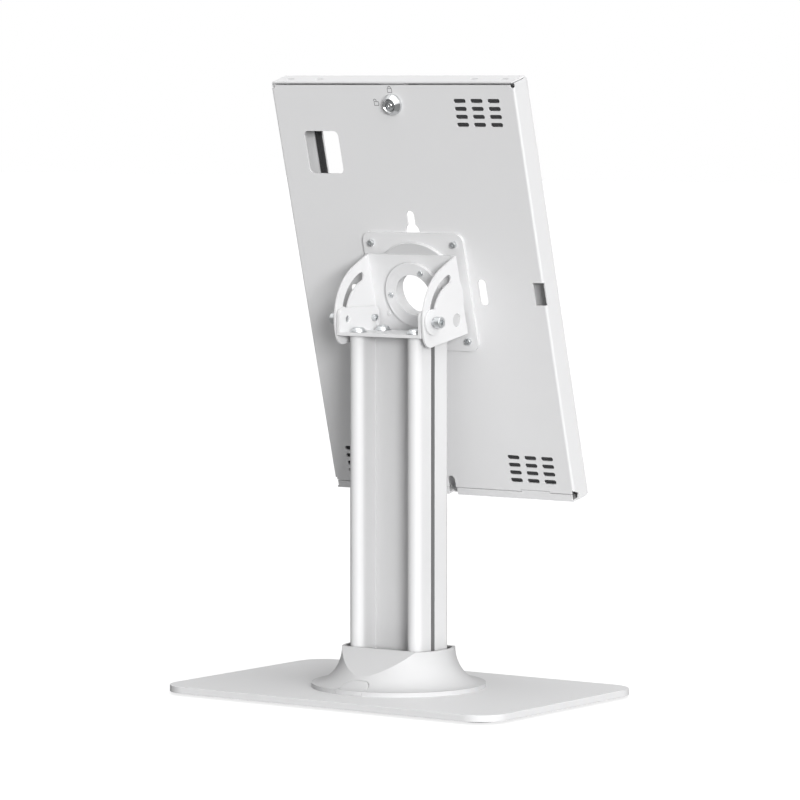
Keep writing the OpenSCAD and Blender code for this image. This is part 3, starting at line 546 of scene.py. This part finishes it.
def pattern_tree(name, circle):
    """Geometry nodes that set one piece on the corners of a rectangle or around a circle."""
    if name in bpy.data.node_groups:
        return bpy.data.node_groups[name]
    tree = bpy.data.node_groups.new(name, "GeometryNodeTree")
    wanted = [("Piece", "NodeSocketObject"), ("Material", "NodeSocketMaterial")]
    if circle:
        wanted += [("Radius", NUMBER), ("Count", "NodeSocketInt")]
    else:
        wanted += [("Pitch X", NUMBER), ("Pitch Y", NUMBER)]
    for label, kind in wanted:
        tree.interface.new_socket(name=label, in_out="INPUT", socket_type=kind)
    tree.interface.new_socket(name="Geometry", in_out="OUTPUT", socket_type="NodeSocketGeometry")
    start = tree.nodes.new("NodeGroupInput").outputs
    end = tree.nodes.new("NodeGroupOutput").inputs
    if circle:
        points = tree.nodes.new("GeometryNodeMeshCircle")
        feed(tree, start["Radius"], points.inputs["Radius"])
        feed(tree, start["Count"], points.inputs["Vertices"])
    else:
        points = tree.nodes.new("GeometryNodeMeshGrid")
        for axis in "XY":
            points.inputs["Vertices " + axis].default_value = 2
            feed(tree, start["Pitch " + axis], points.inputs["Size " + axis])
    piece = tree.nodes.new("GeometryNodeObjectInfo")
    feed(tree, start["Piece"], piece.inputs["Object"])
    spots = tree.nodes.new("GeometryNodeInstanceOnPoints")
    feed(tree, points.outputs["Mesh"], spots.inputs["Points"])
    feed(tree, piece.outputs["Geometry"], spots.inputs["Instance"])
    real = tree.nodes.new("GeometryNodeRealizeInstances")
    feed(tree, spots.outputs["Instances"], real.inputs["Geometry"])
    paint = tree.nodes.new("GeometryNodeSetMaterial")
    feed(tree, real.outputs["Geometry"], paint.inputs["Geometry"])
    feed(tree, start["Material"], paint.inputs["Material"])
    feed(tree, paint.outputs["Geometry"], end["Geometry"])
    return tree


def patterned(name, single, material, place, **sizes):
    """Plain mesh of one piece repeated on a pattern, set at its place."""
    circle = "Radius" in sizes
    tree = pattern_tree("Set on a circle" if circle else "Set on four corners", circle)
    source = add_object(name + "_single", single, material)
    carrier = add_object(name, bpy.data.meshes.new(name), material)
    modifier = carrier.modifiers.new("pattern", "NODES")
    modifier.node_group = tree
    values = {"Piece": source, "Material": material, **sizes}
    for item in tree.interface.items_tree:
        if item.item_type == "SOCKET" and item.in_out == "INPUT":
            modifier[item.identifier] = values[item.name]
    apply_modifiers(carrier)
    bpy.data.objects.remove(source)
    carrier.data.transform(place)
    shade(carrier)
    return carrier


def screw_mesh(name, shank, length, head, socket, depth, count=36):
    """Screw along +Z, its head's underside at 0: the shank's radius and length, the head's profile as
    (radius, height) points, the socket's width across flats and its depth, all in millimetres."""
    chamfer = min(0.4, shank * 0.3)
    narrowed, bevel = 0.96, 0.1
    drill_point, drill_depth = 0.12, 1.15
    top = head[-1][1]
    outside = [(shank - chamfer, -length), (shank, -length + chamfer), (shank, min(0.0, head[0][1]))]
    hexagons = [(socket, top), (socket * narrowed, top - bevel), (socket * narrowed, top - depth)]
    rings = [round_ring(r * MM, z * MM, count) for r, z in outside + head]
    rings += [hex_ring(across * MM, z * MM, count) for across, z in hexagons]
    rings += [round_ring(socket * drill_point * MM, (top - depth * drill_depth) * MM, count)]
    bm = bmesh.new()
    loft(bm, rings)
    return mesh_from(bm, name)


def pan_head(radius, height, edge):
    """Profile of a head with an upright side and a rounded top edge."""
    return [(radius * 0.97, 0.0), (radius, 0.06)] + rounded_edge(radius, height, edge)


# Settings

class StandCoat(bpy.types.PropertyGroup):
    """White coat of the steel and the column."""
    colour: FloatVectorProperty(
        name="Colour", description="Colour of the white coat", subtype="COLOR",
        default=(0.70, 0.70, 0.705), min=0, max=1)
    roughness: FloatProperty(
        name="Roughness", description="Roughness of the coat", default=0.42, min=0.05, max=1)
    grains: FloatProperty(
        name="Grains per metre", description="Fineness of the orange peel", default=950.0,
        min=100, max=4000)
    relief_mm: FloatProperty(
        name="Relief", description="Height of the orange peel in millimetres", default=0.012,
        min=0, max=0.1)
    edge_mm: FloatProperty(
        name="Edge", description="Rounding of cut sheet edges in millimetres", default=0.35,
        min=0.05, max=1)
    # The next two set where the painted shade lies in the column's groove.
    groove_half: FloatProperty(
        name="Groove half width", description="Half the width of the column's cable groove",
        subtype="DISTANCE", default=0.0205, min=0.01, max=0.03)
    groove_mouth: FloatProperty(
        name="Groove mouth", description="Place of the groove's mouth along Y",
        subtype="DISTANCE", default=0.0195, min=0.01, max=0.03)
    # Painted shade: the column coat's colour is multiplied by this deep in the cable groove.
    groove_shade_tone: FloatProperty(
        name="Groove shade", description="Share of the coat's tone that is left down in the groove",
        default=0.85, min=0.5, max=1)
    # Painted shade: the column coat's colour is multiplied by this in the side slots.
    slot_shade_tone: FloatProperty(
        name="Slot shade", description="Share of the coat's tone that is left in the side slots",
        default=0.35, min=0.2, max=1)
    plate_edge_mm: FloatProperty(
        name="Base edge", description="Rounding of the base plate's edges in millimetres",
        default=0.9, min=0.1, max=2)


class StandMetal(bpy.types.PropertyGroup):
    """Bare metal of the screws and the lock, and the screws' pattern."""
    zinc: FloatVectorProperty(
        name="Zinc", description="Colour of the zinc plate", subtype="COLOR",
        default=(0.74, 0.76, 0.77), min=0, max=1)
    chrome: FloatVectorProperty(
        name="Chrome", description="Colour of the lock", subtype="COLOR",
        default=(0.72, 0.73, 0.74), min=0, max=1)
    plate_pitch: FloatProperty(
        name="Adapter pitch", description="Pitch of the adapter plate's screws",
        subtype="DISTANCE", default=0.075, min=0.05, max=0.2)
    hub_screws: IntProperty(
        name="Hub screws", description="Number of screws in the hub's flange",
        default=3, min=3, max=8)


class StandStage(bpy.types.PropertyGroup):
    """Camera, lamps and surroundings."""
    azimuth: FloatProperty(
        name="Azimuth", description="Direction of the camera around the stand", subtype="ANGLE",
        default=math.radians(215.486))
    elevation: FloatProperty(
        name="Elevation", description="Height angle of the camera", subtype="ANGLE",
        default=math.radians(3.983))
    distance: FloatProperty(
        name="Distance", description="Distance of the camera from its aim", subtype="DISTANCE",
        default=3.3737)
    aim: FloatVectorProperty(
        name="Aim", description="Point that the camera looks at", subtype="XYZ",
        default=(-0.00119, -0.00006, 0.22064))
    lens: FloatProperty(
        name="Lens", description="Focal length in millimetres for a 36 mm sensor", default=204.58)
    key: FloatProperty(
        name="Key light", description="Strength of the light from behind the stand",
        default=2.65, min=0)
    side: FloatProperty(
        name="Side light", description="Strength of the broad light beside the key",
        default=2.25, min=0)
    top: FloatProperty(
        name="Top light", description="Strength of the light from above", default=1.75, min=0)
    ambient: FloatProperty(
        name="Ambient", description="Strength of the white surroundings", default=0.12,
        min=0, max=1)


# Base and column

class STAND_OT_base(bpy.types.Operator):
    """Base plate with rounded edges, its feet and the screws below"""
    bl_idname = "stand.base"
    bl_label = "Base plate and feet"

    def execute(self, context):
        edge = context.scene.stand_coat.plate_edge_mm
        softened("base_plate", powder_coat(), edge, segments=3)
        self.feet()
        self.screws()
        return {"FINISHED"}

    def feet(self):
        low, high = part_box("feet")
        height, radius = high.z - low.z, self.foot_radius()
        # Shares of the radius and of the height
        dish = [(0.45, 0.2), (0.5, 0.12), (0.62, 0.0)]
        side = [(0.96, 0.0), (1.0, 0.2), (1.0, 0.8), (0.97, 1.0)]
        bm = bmesh.new()
        turned(bm, [(radius * r, height * z) for r, z in dish + side], count=48)
        obj = patterned("rubber_feet", mesh_from(bm, "foot"), foot_rubber(),
                        Matrix.Translation((0, 0, low.z)), **corner_pitch(low, high, radius))
        stand_for(obj, "feet")

    def foot_radius(self):
        """Half the width of the foot in the corner where X and Y are positive."""
        points = [v.co for v in frame["nodes"]["feet"].data.vertices]
        corner = [p.x for p in points if p.x > 0 and p.y > 0]
        return (max(corner) - min(corner)) / 2

    def screws(self):
        low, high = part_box("base_screws")
        shank, head, head_high = 3.0, 5.7, 2.7
        head_and_gap = 2.8  # the tip stays 0.1 mm inside the node
        taper = [(shank, 0.0), (head, 2.6), (head, head_high)]
        length = high.z / MM - low.z / MM - head_and_gap
        mesh = screw_mesh("base_screw", shank, length, taper, socket=4.0, depth=1.8)
        place = Matrix.Translation((0, 0, low.z + head_high * MM)) @ Matrix.Rotation(math.pi, 4, "X")
        obj = patterned("base_screws_finished", mesh, zinc_plate(), place,
                        **corner_pitch(low, high, head * MM))
        stand_for(obj, "base_screws")


class STAND_OT_column(bpy.types.Operator):
    """Column with its groove and slots, and the moulded collar with its cable door"""
    bl_idname = "stand.column"
    bl_label = "Column and collar"

    def execute(self, context):
        # The column's coat carries painted shade in its groove and side slots.
        softened("column", column_coat_painted_shade(), edge_mm=0.3)
        softened("collar", moulded_white_painted_shade(), edge_mm=0.35, sharp_deg=20)
        softened("cable_door", moulded_white_painted_shade(), edge_mm=0.25, sharp_deg=20)
        return {"FINISHED"}


# Head

class STAND_OT_head(bpy.types.Operator):
    """Brackets, adapter plate, hub and their washers"""
    bl_idname = "stand.head"
    bl_label = "Tilt and turn head"

    def execute(self, context):
        edge = context.scene.stand_coat.edge_mm
        for node in ("head_bracket", "tilt_bracket", "adapter_plate", "hub", "hub_flange"):
            softened(node, powder_coat(), edge)
        softened("clamp_washers", powder_coat(), edge_mm=0.3)
        softened("limit_pin", powder_coat(), edge_mm=0.7, segments=4)
        softened("slip_washers", moulded_white_painted_shade(), edge_mm=0.08)
        softened("pivot_bushes", moulded_white_painted_shade(), edge_mm=0.2)
        return {"FINISHED"}


class STAND_OT_fasteners(bpy.types.Operator):
    """Screws, bolts and nuts"""
    bl_idname = "stand.fasteners"
    bl_label = "Screws and nuts"

    def execute(self, context):
        self.head_screws()
        self.plate_screws(context)
        self.hub_screws(context)
        self.clamp_bolts()
        softened("pivot_screws", zinc_plate(), edge_mm=0.2)
        softened("plate_nuts", zinc_plate(), edge_mm=0.25)
        return {"FINISHED"}

    def head_screws(self):
        low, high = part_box("head_screws")
        sheet = 2.5 * MM
        radius, bearing = 6.12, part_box("head_bracket")[0].z + sheet
        washer = [(radius * 0.97, 0.0), (radius, 0.15), (radius, 0.7), (5.95, 0.95), (5.4, 1.0)]
        dome = [(5.2, 1.7), (4.8, 2.4), (4.2, 3.0), (3.4, 3.45), (2.7, 3.68)]
        length = (bearing - low.z) / MM
        mesh = screw_mesh("head_screw", 3.0, length, washer + dome, socket=4.0, depth=1.9, count=48)
        obj = patterned("head_screws_finished", mesh, zinc_plate(),
                        Matrix.Translation((0, 0, bearing)), **corner_pitch(low, high, radius * MM))
        stand_for(obj, "head_screws")

    def plate_screws(self, context):
        pitch = context.scene.stand_metal.plate_pitch
        bearing = case_box("adapter_plate")[1].y
        low = case_box("plate_screws")[0].y
        head = pan_head(radius=2.5, height=2.6, edge=0.4)
        mesh = screw_mesh("plate_screw", 2.0, (bearing - low) / MM, head, socket=2.3, depth=1.2)
        obj = patterned("plate_screws_finished", mesh, zinc_plate(), on_back(0, bearing, 0),
                        **{"Pitch X": pitch, "Pitch Y": pitch})
        stand_for(obj, "plate_screws")

    def hub_screws(self, context):
        radius = 2.1
        bearing = case_box("hub_flange")[1].y
        low, high = case_box("hub_screws")
        head = pan_head(radius, height=1.3, edge=0.35)
        mesh = screw_mesh("hub_screw", 1.5, (bearing - low.y) / MM, head, socket=1.8, depth=0.8)
        obj = patterned("hub_screws_finished", mesh, zinc_plate(), on_back(0, bearing, 0),
                        Radius=high.x - radius * MM, Count=context.scene.stand_metal.hub_screws)
        stand_for(obj, "hub_screws")

    def clamp_bolts(self):
        low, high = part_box("clamp_bolts")
        head_high = 5.2
        y, z = (low.y + high.y) / 2, (low.z + high.z) / 2
        bearing = high.x - head_high * MM
        inner_end = min(abs(v.co.x) for v in frame["nodes"]["clamp_bolts"].data.vertices)
        head = pan_head(radius=4.2, height=head_high, edge=0.5)
        length = (bearing - inner_end) / MM
        mesh = screw_mesh("clamp_bolt", 2.5, length, head, socket=4.0, depth=2.6, count=48)
        both = bmesh.new()
        for side in (1, -1):
            single = mesh.copy()
            single.transform(sideways(side, bearing, y, z))
            both.from_mesh(single)
        obj = add_object("clamp_bolts_finished", mesh_from(both, "clamp_bolts"), zinc_plate())
        shade(obj)
        stand_for(obj, "clamp_bolts")


# Case

class STAND_OT_case(bpy.types.Operator):
    """Back shell, front frame and catch"""
    bl_idname = "stand.case"
    bl_label = "Case"

    def execute(self, context):
        edge = context.scene.stand_coat.edge_mm
        for node, share in (("back_shell", 0.8), ("front_frame", 0.8), ("frame_catch", 0.6)):
            softened(node, powder_coat(), edge * share)
        return {"FINISHED"}


class STAND_OT_foam(bpy.types.Operator):
    """Foam blocks, pads and the strip around the window"""
    bl_idname = "stand.foam"
    bl_label = "Foam"

    def execute(self, context):
        edges = {"side_spacers": 1.2, "end_spacers": 1.2, "back_pads": 1.0, "window_gasket": 0.4}
        for node, edge in edges.items():
            obj = softened(node, pad_foam(), edge, segments=3)
        return {"FINISHED"}


class STAND_OT_lock(bpy.types.Operator):
    """Round-key lock: housing, plug, cam, nut and screw"""
    bl_idname = "stand.lock"
    bl_label = "Lock"

    def execute(self, context):
        self.housing()
        self.plug()
        softened("lock_nut", zinc_plate(), edge_mm=0.25)
        softened("lock_cam", zinc_plate(), edge_mm=0.2)
        softened("cam_screw", zinc_plate(), edge_mm=0.2)
        return {"FINISHED"}

    def chromed(self, bm, name):
        """Chrome piece on the lock's axis, drawn along +Z from the case's back face."""
        obj = add_object(name, mesh_from(bm, name, on_back(*lock_centre())), lock_chrome())
        shade(obj, crease_deg=35)
        return obj

    def housing(self):
        low, high = case_box("lock_body")
        head, tail = high.y / MM, low.y / MM
        # Radii and heights in millimetres
        outer = [(6.0, tail), (6.0, 0.0), (7.8, 0.0), (8.0, 0.2), (8.0, 1.9), (7.9, 2.2), (7.6, 2.5)]
        rim = [(5.75, head - 0.25), (5.5, head), (5.1, head), (4.85, head - 0.2), (4.5, head - 0.7)]
        bore = [(4.26, head - 0.8), (4.26, tail)]
        bm = bmesh.new()
        turned(bm, [(r * MM, z * MM) for r, z in outer + rim + bore], count=72, closed=True)
        stand_for(self.chromed(bm, "lock_housing"), "lock_body")

    def plug(self):
        low, high = case_box("lock_plug")
        face, tail = high.y / MM, low.y / MM
        # Radii and heights in millimetres
        count = 96
        key_well, well_floor, notch = 3.3, face - 2.8, 3.85
        pin, shoulder = 2.2, face - 0.3
        outside = [(2.5, tail), (2.5, tail + 1.9), (4.2, tail + 1.95), (4.2, shoulder),
                   (4.0, face), (3.9, face)]
        inside = [(pin, well_floor), (pin, face - 0.5), (pin - 0.2, shoulder), (0.9, shoulder),
                  (0.6, face - 0.6)]
        rings = [round_ring(r * MM, z * MM, count) for r, z in outside]
        rings += [self.notched(key_well, notch, z, count) for z in (face, well_floor)]
        rings += [round_ring(r * MM, z * MM, count) for r, z in inside]
        bm = bmesh.new()
        loft(bm, rings)
        stand_for(self.chromed(bm, "lock_plug_finished"), "lock_plug")

    def notched(self, radius, notch, height, count, half_deg=13):
        """Circle with a key notch on one side."""
        points = []
        for p in round_ring(1.0, height * MM, count):
            near = abs(math.atan2(p.y, p.x) + math.pi / 2) < math.radians(half_deg)
            r = (notch if near else radius) * MM
            points.append(Vector((p.x * r, p.y * r, height * MM)))
        return points


class STAND_OT_marks(bpy.types.Operator):
    """Printed padlocks that show the lock's two positions"""
    bl_idname = "stand.marks"
    bl_label = "Lock marks"

    def execute(self, context):
        centre = lock_centre()
        bm = bmesh.new()
        # Millimetres from the lock's axis and the shackle's shift: the closed padlock, then the open one
        for u, v, shift in ((1.15, 10.35, 0.0), (14.85, 0.45, 1.1)):
            self.padlock(bm, centre.x + u * MM, centre.z + v * MM, shift * MM)
        obj = add_object("lock_marks", mesh_from(bm, "lock_marks", CASE), mark_ink())
        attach(obj, "case")
        return {"FINISHED"}

    def padlock(self, bm, x, z, shift):
        """Outlines of a padlock's body and shackle; shift swings the shackle of an open one aside."""
        wide, high = 1.9 * MM, 1.45 * MM
        corners = [(x - wide, z - high), (x + wide, z - high), (x + wide, z + high), (x - wide, z + high)]
        self.stroke(bm, corners + corners[:1])
        radius, leg, steps = 1.15 * MM, 0.7 * MM, 10
        side, top = x + shift, z + high + leg
        turns = [math.pi * i / steps for i in range(steps + 1)]
        arch = [(side + radius * math.cos(a), top + radius * math.sin(a)) for a in turns]
        first, last = (arch[0][0], z + high), (arch[-1][0], z + high)
        self.stroke(bm, ([first] if shift == 0 else []) + arch + [last])

    def stroke(self, bm, points):
        """Thin printed line through the points."""
        half, skin = 0.22 * MM, 0.03 * MM
        for (u0, v0), (u1, v1) in zip(points, points[1:]):
            along = Vector((u1 - u0, v1 - v0)).normalized() * half
            across = Vector((-along.y, along.x))
            a, b = Vector((u0, v0)) - along, Vector((u1, v1)) + along
            self.slab(bm, [a - across, b - across, b + across, a + across], skin)

    def slab(self, bm, outline, thickness):
        """Thin plate on the case's back."""
        low = [bm.verts.new((u, 0.0, v)) for u, v in outline]
        top = [bm.verts.new((u, thickness, v)) for u, v in outline]
        bm.faces.new(low)
        bm.faces.new(list(reversed(top)))
        for i, corner in enumerate(low):
            j = (i + 1) % len(low)
            bm.faces.new((corner, low[j], top[j], top[i]))


# Stage

class STAND_OT_stage(bpy.types.Operator):
    """Camera at the product view, white surroundings, soft lamps and the floor"""
    bl_idname = "stand.stage"
    bl_label = "Stage"

    def execute(self, context):
        s = context.scene.stand_stage
        context.scene.view_settings.view_transform = "Standard"
        self.camera(context, s)
        self.surroundings(context, s)
        self.lamp("key", s.key, towards=(-0.70, 0.66, 0.10), soft_deg=16)
        self.lamp("side", s.side, towards=(-0.85, 0.50, 0.15), soft_deg=110)
        self.lamp("top", s.top, towards=(-0.10, -0.05, 1.00), soft_deg=60)
        self.floor()
        return {"FINISHED"}

    def camera(self, context, s):
        data = bpy.data.cameras.new("product camera")
        data.sensor_width = 36.0
        data.lens = s.lens
        data.clip_end = 50.0
        obj = bpy.data.objects.new("product camera", data)
        context.scene.collection.objects.link(obj)
        back = Vector((
            math.sin(s.azimuth) * math.cos(s.elevation),
            -math.cos(s.azimuth) * math.cos(s.elevation),
            math.sin(s.elevation),
        ))
        obj.location = Vector(s.aim) + back * s.distance
        obj.rotation_mode = "QUATERNION"
        obj.rotation_quaternion = (-back).to_track_quat("-Z", "Y")
        context.scene.camera = obj

    def by_ray(self, tree, path, lighting, shown):
        """One value for the rays that light the stand and another for those that show the picture."""
        seen = maths(tree, "MAXIMUM", path.outputs["Is Camera Ray"], path.outputs["Is Transmission Ray"])
        return spread(tree, seen, lighting, shown)

    def surroundings(self, context, s):
        """White for the camera; metal mirrors a room that is dark at the horizon and bright above."""
        dark, bright = 0.06, 1.1
        darkest_at, brightest_at = -0.05, 0.55
        world = bpy.data.worlds.new("white room")
        world.use_nodes = True
        tree = world.node_tree
        background = tree.nodes["Background"]
        background.inputs["Color"].default_value = (1, 1, 1, 1)
        path = tree.nodes.new("ShaderNodeLightPath")
        towards = tree.nodes.new("ShaderNodeSeparateXYZ")
        feed(tree, tree.nodes.new("ShaderNodeTexCoord").outputs["Generated"], towards.inputs[0])
        height = towards.outputs["Z"]
        mirrored = spread(tree, height, dark, bright, darkest_at, brightest_at, smooth=True)
        around = spread(tree, path.outputs["Is Glossy Ray"], s.ambient, mirrored)
        feed(tree, self.by_ray(tree, path, around, 1.0), background.inputs["Strength"])
        context.scene.world = world

    def lamp(self, name, strength, towards, soft_deg):
        """Sun that shines from a direction, its shadows softened over an angle."""
        data = bpy.data.lights.new(name, "SUN")
        data.energy = strength
        data.angle = math.radians(soft_deg)
        obj = bpy.data.objects.new(name, data)
        bpy.context.scene.collection.objects.link(obj)
        obj.rotation_mode = "QUATERNION"
        obj.rotation_quaternion = Vector(towards).to_track_quat("Z", "Y")

    def floor(self):
        """Matt floor that keeps the shadow and goes over into the white around it."""
        half_width = 15.0
        tones = ((0.295, 0.295, 0.295, 1), (0.305, 0.305, 0.305, 1))
        glow_on_stand, glow_in_picture = 0.03, 0.80
        bm = bmesh.new()
        bmesh.ops.create_grid(bm, x_segments=1, y_segments=1, size=half_width)
        material = bpy.data.materials.new("White floor")
        material.use_nodes = True
        tree = material.node_tree
        shader = tree.nodes["Principled BSDF"]
        shader.inputs["Roughness"].default_value = 0.9
        shader.inputs["Specular IOR Level"].default_value = 0.0
        mottle = noise(tree, object_place(tree), scale=3.0)
        feed(tree, blend(tree, mottle, *tones), shader.inputs["Base Color"])
        shader.inputs["Emission Color"].default_value = (1, 1, 1, 1)
        path = tree.nodes.new("ShaderNodeLightPath")
        glow = self.by_ray(tree, path, glow_on_stand, glow_in_picture)
        feed(tree, glow, shader.inputs["Emission Strength"])
        obj = add_object("floor", mesh_from(bm, "floor"), material)


# Panel and order of work

SETTINGS = {"stand_coat": StandCoat, "stand_metal": StandMetal, "stand_stage": StandStage}
PIECES = (STAND_OT_base, STAND_OT_column, STAND_OT_head, STAND_OT_fasteners, STAND_OT_case,
          STAND_OT_foam, STAND_OT_lock, STAND_OT_marks, STAND_OT_stage)


class STAND_PT_panel(bpy.types.Panel):
    """The stand's pieces and settings"""
    bl_label = "Tablet stand"
    bl_idname = "STAND_PT_panel"
    bl_space_type = "VIEW_3D"
    bl_region_type = "UI"
    bl_category = "Stand"

    def draw(self, context):
        for piece in PIECES:
            self.layout.operator(piece.bl_idname)
        for name, group in SETTINGS.items():
            box = self.layout.box()
            for key in group.__annotations__:
                box.prop(getattr(context.scene, name), key)


def register():
    for group in SETTINGS.values():
        bpy.utils.register_class(group)
    for piece in PIECES:
        bpy.utils.register_class(piece)
    bpy.utils.register_class(STAND_PT_panel)
    for name, group in SETTINGS.items():
        setattr(bpy.types.Scene, name, PointerProperty(type=group))


def unregister():
    for name in SETTINGS:
        delattr(bpy.types.Scene, name)
    bpy.utils.unregister_class(STAND_PT_panel)
    for piece in reversed(PIECES):
        bpy.utils.unregister_class(piece)
    for group in reversed(list(SETTINGS.values())):
        bpy.utils.unregister_class(group)


def main():
    register()
    for piece in PIECES:
        group, name = piece.bl_idname.split(".")
        getattr(getattr(bpy.ops, group), name)()


if __name__ == "__main__":
    main()
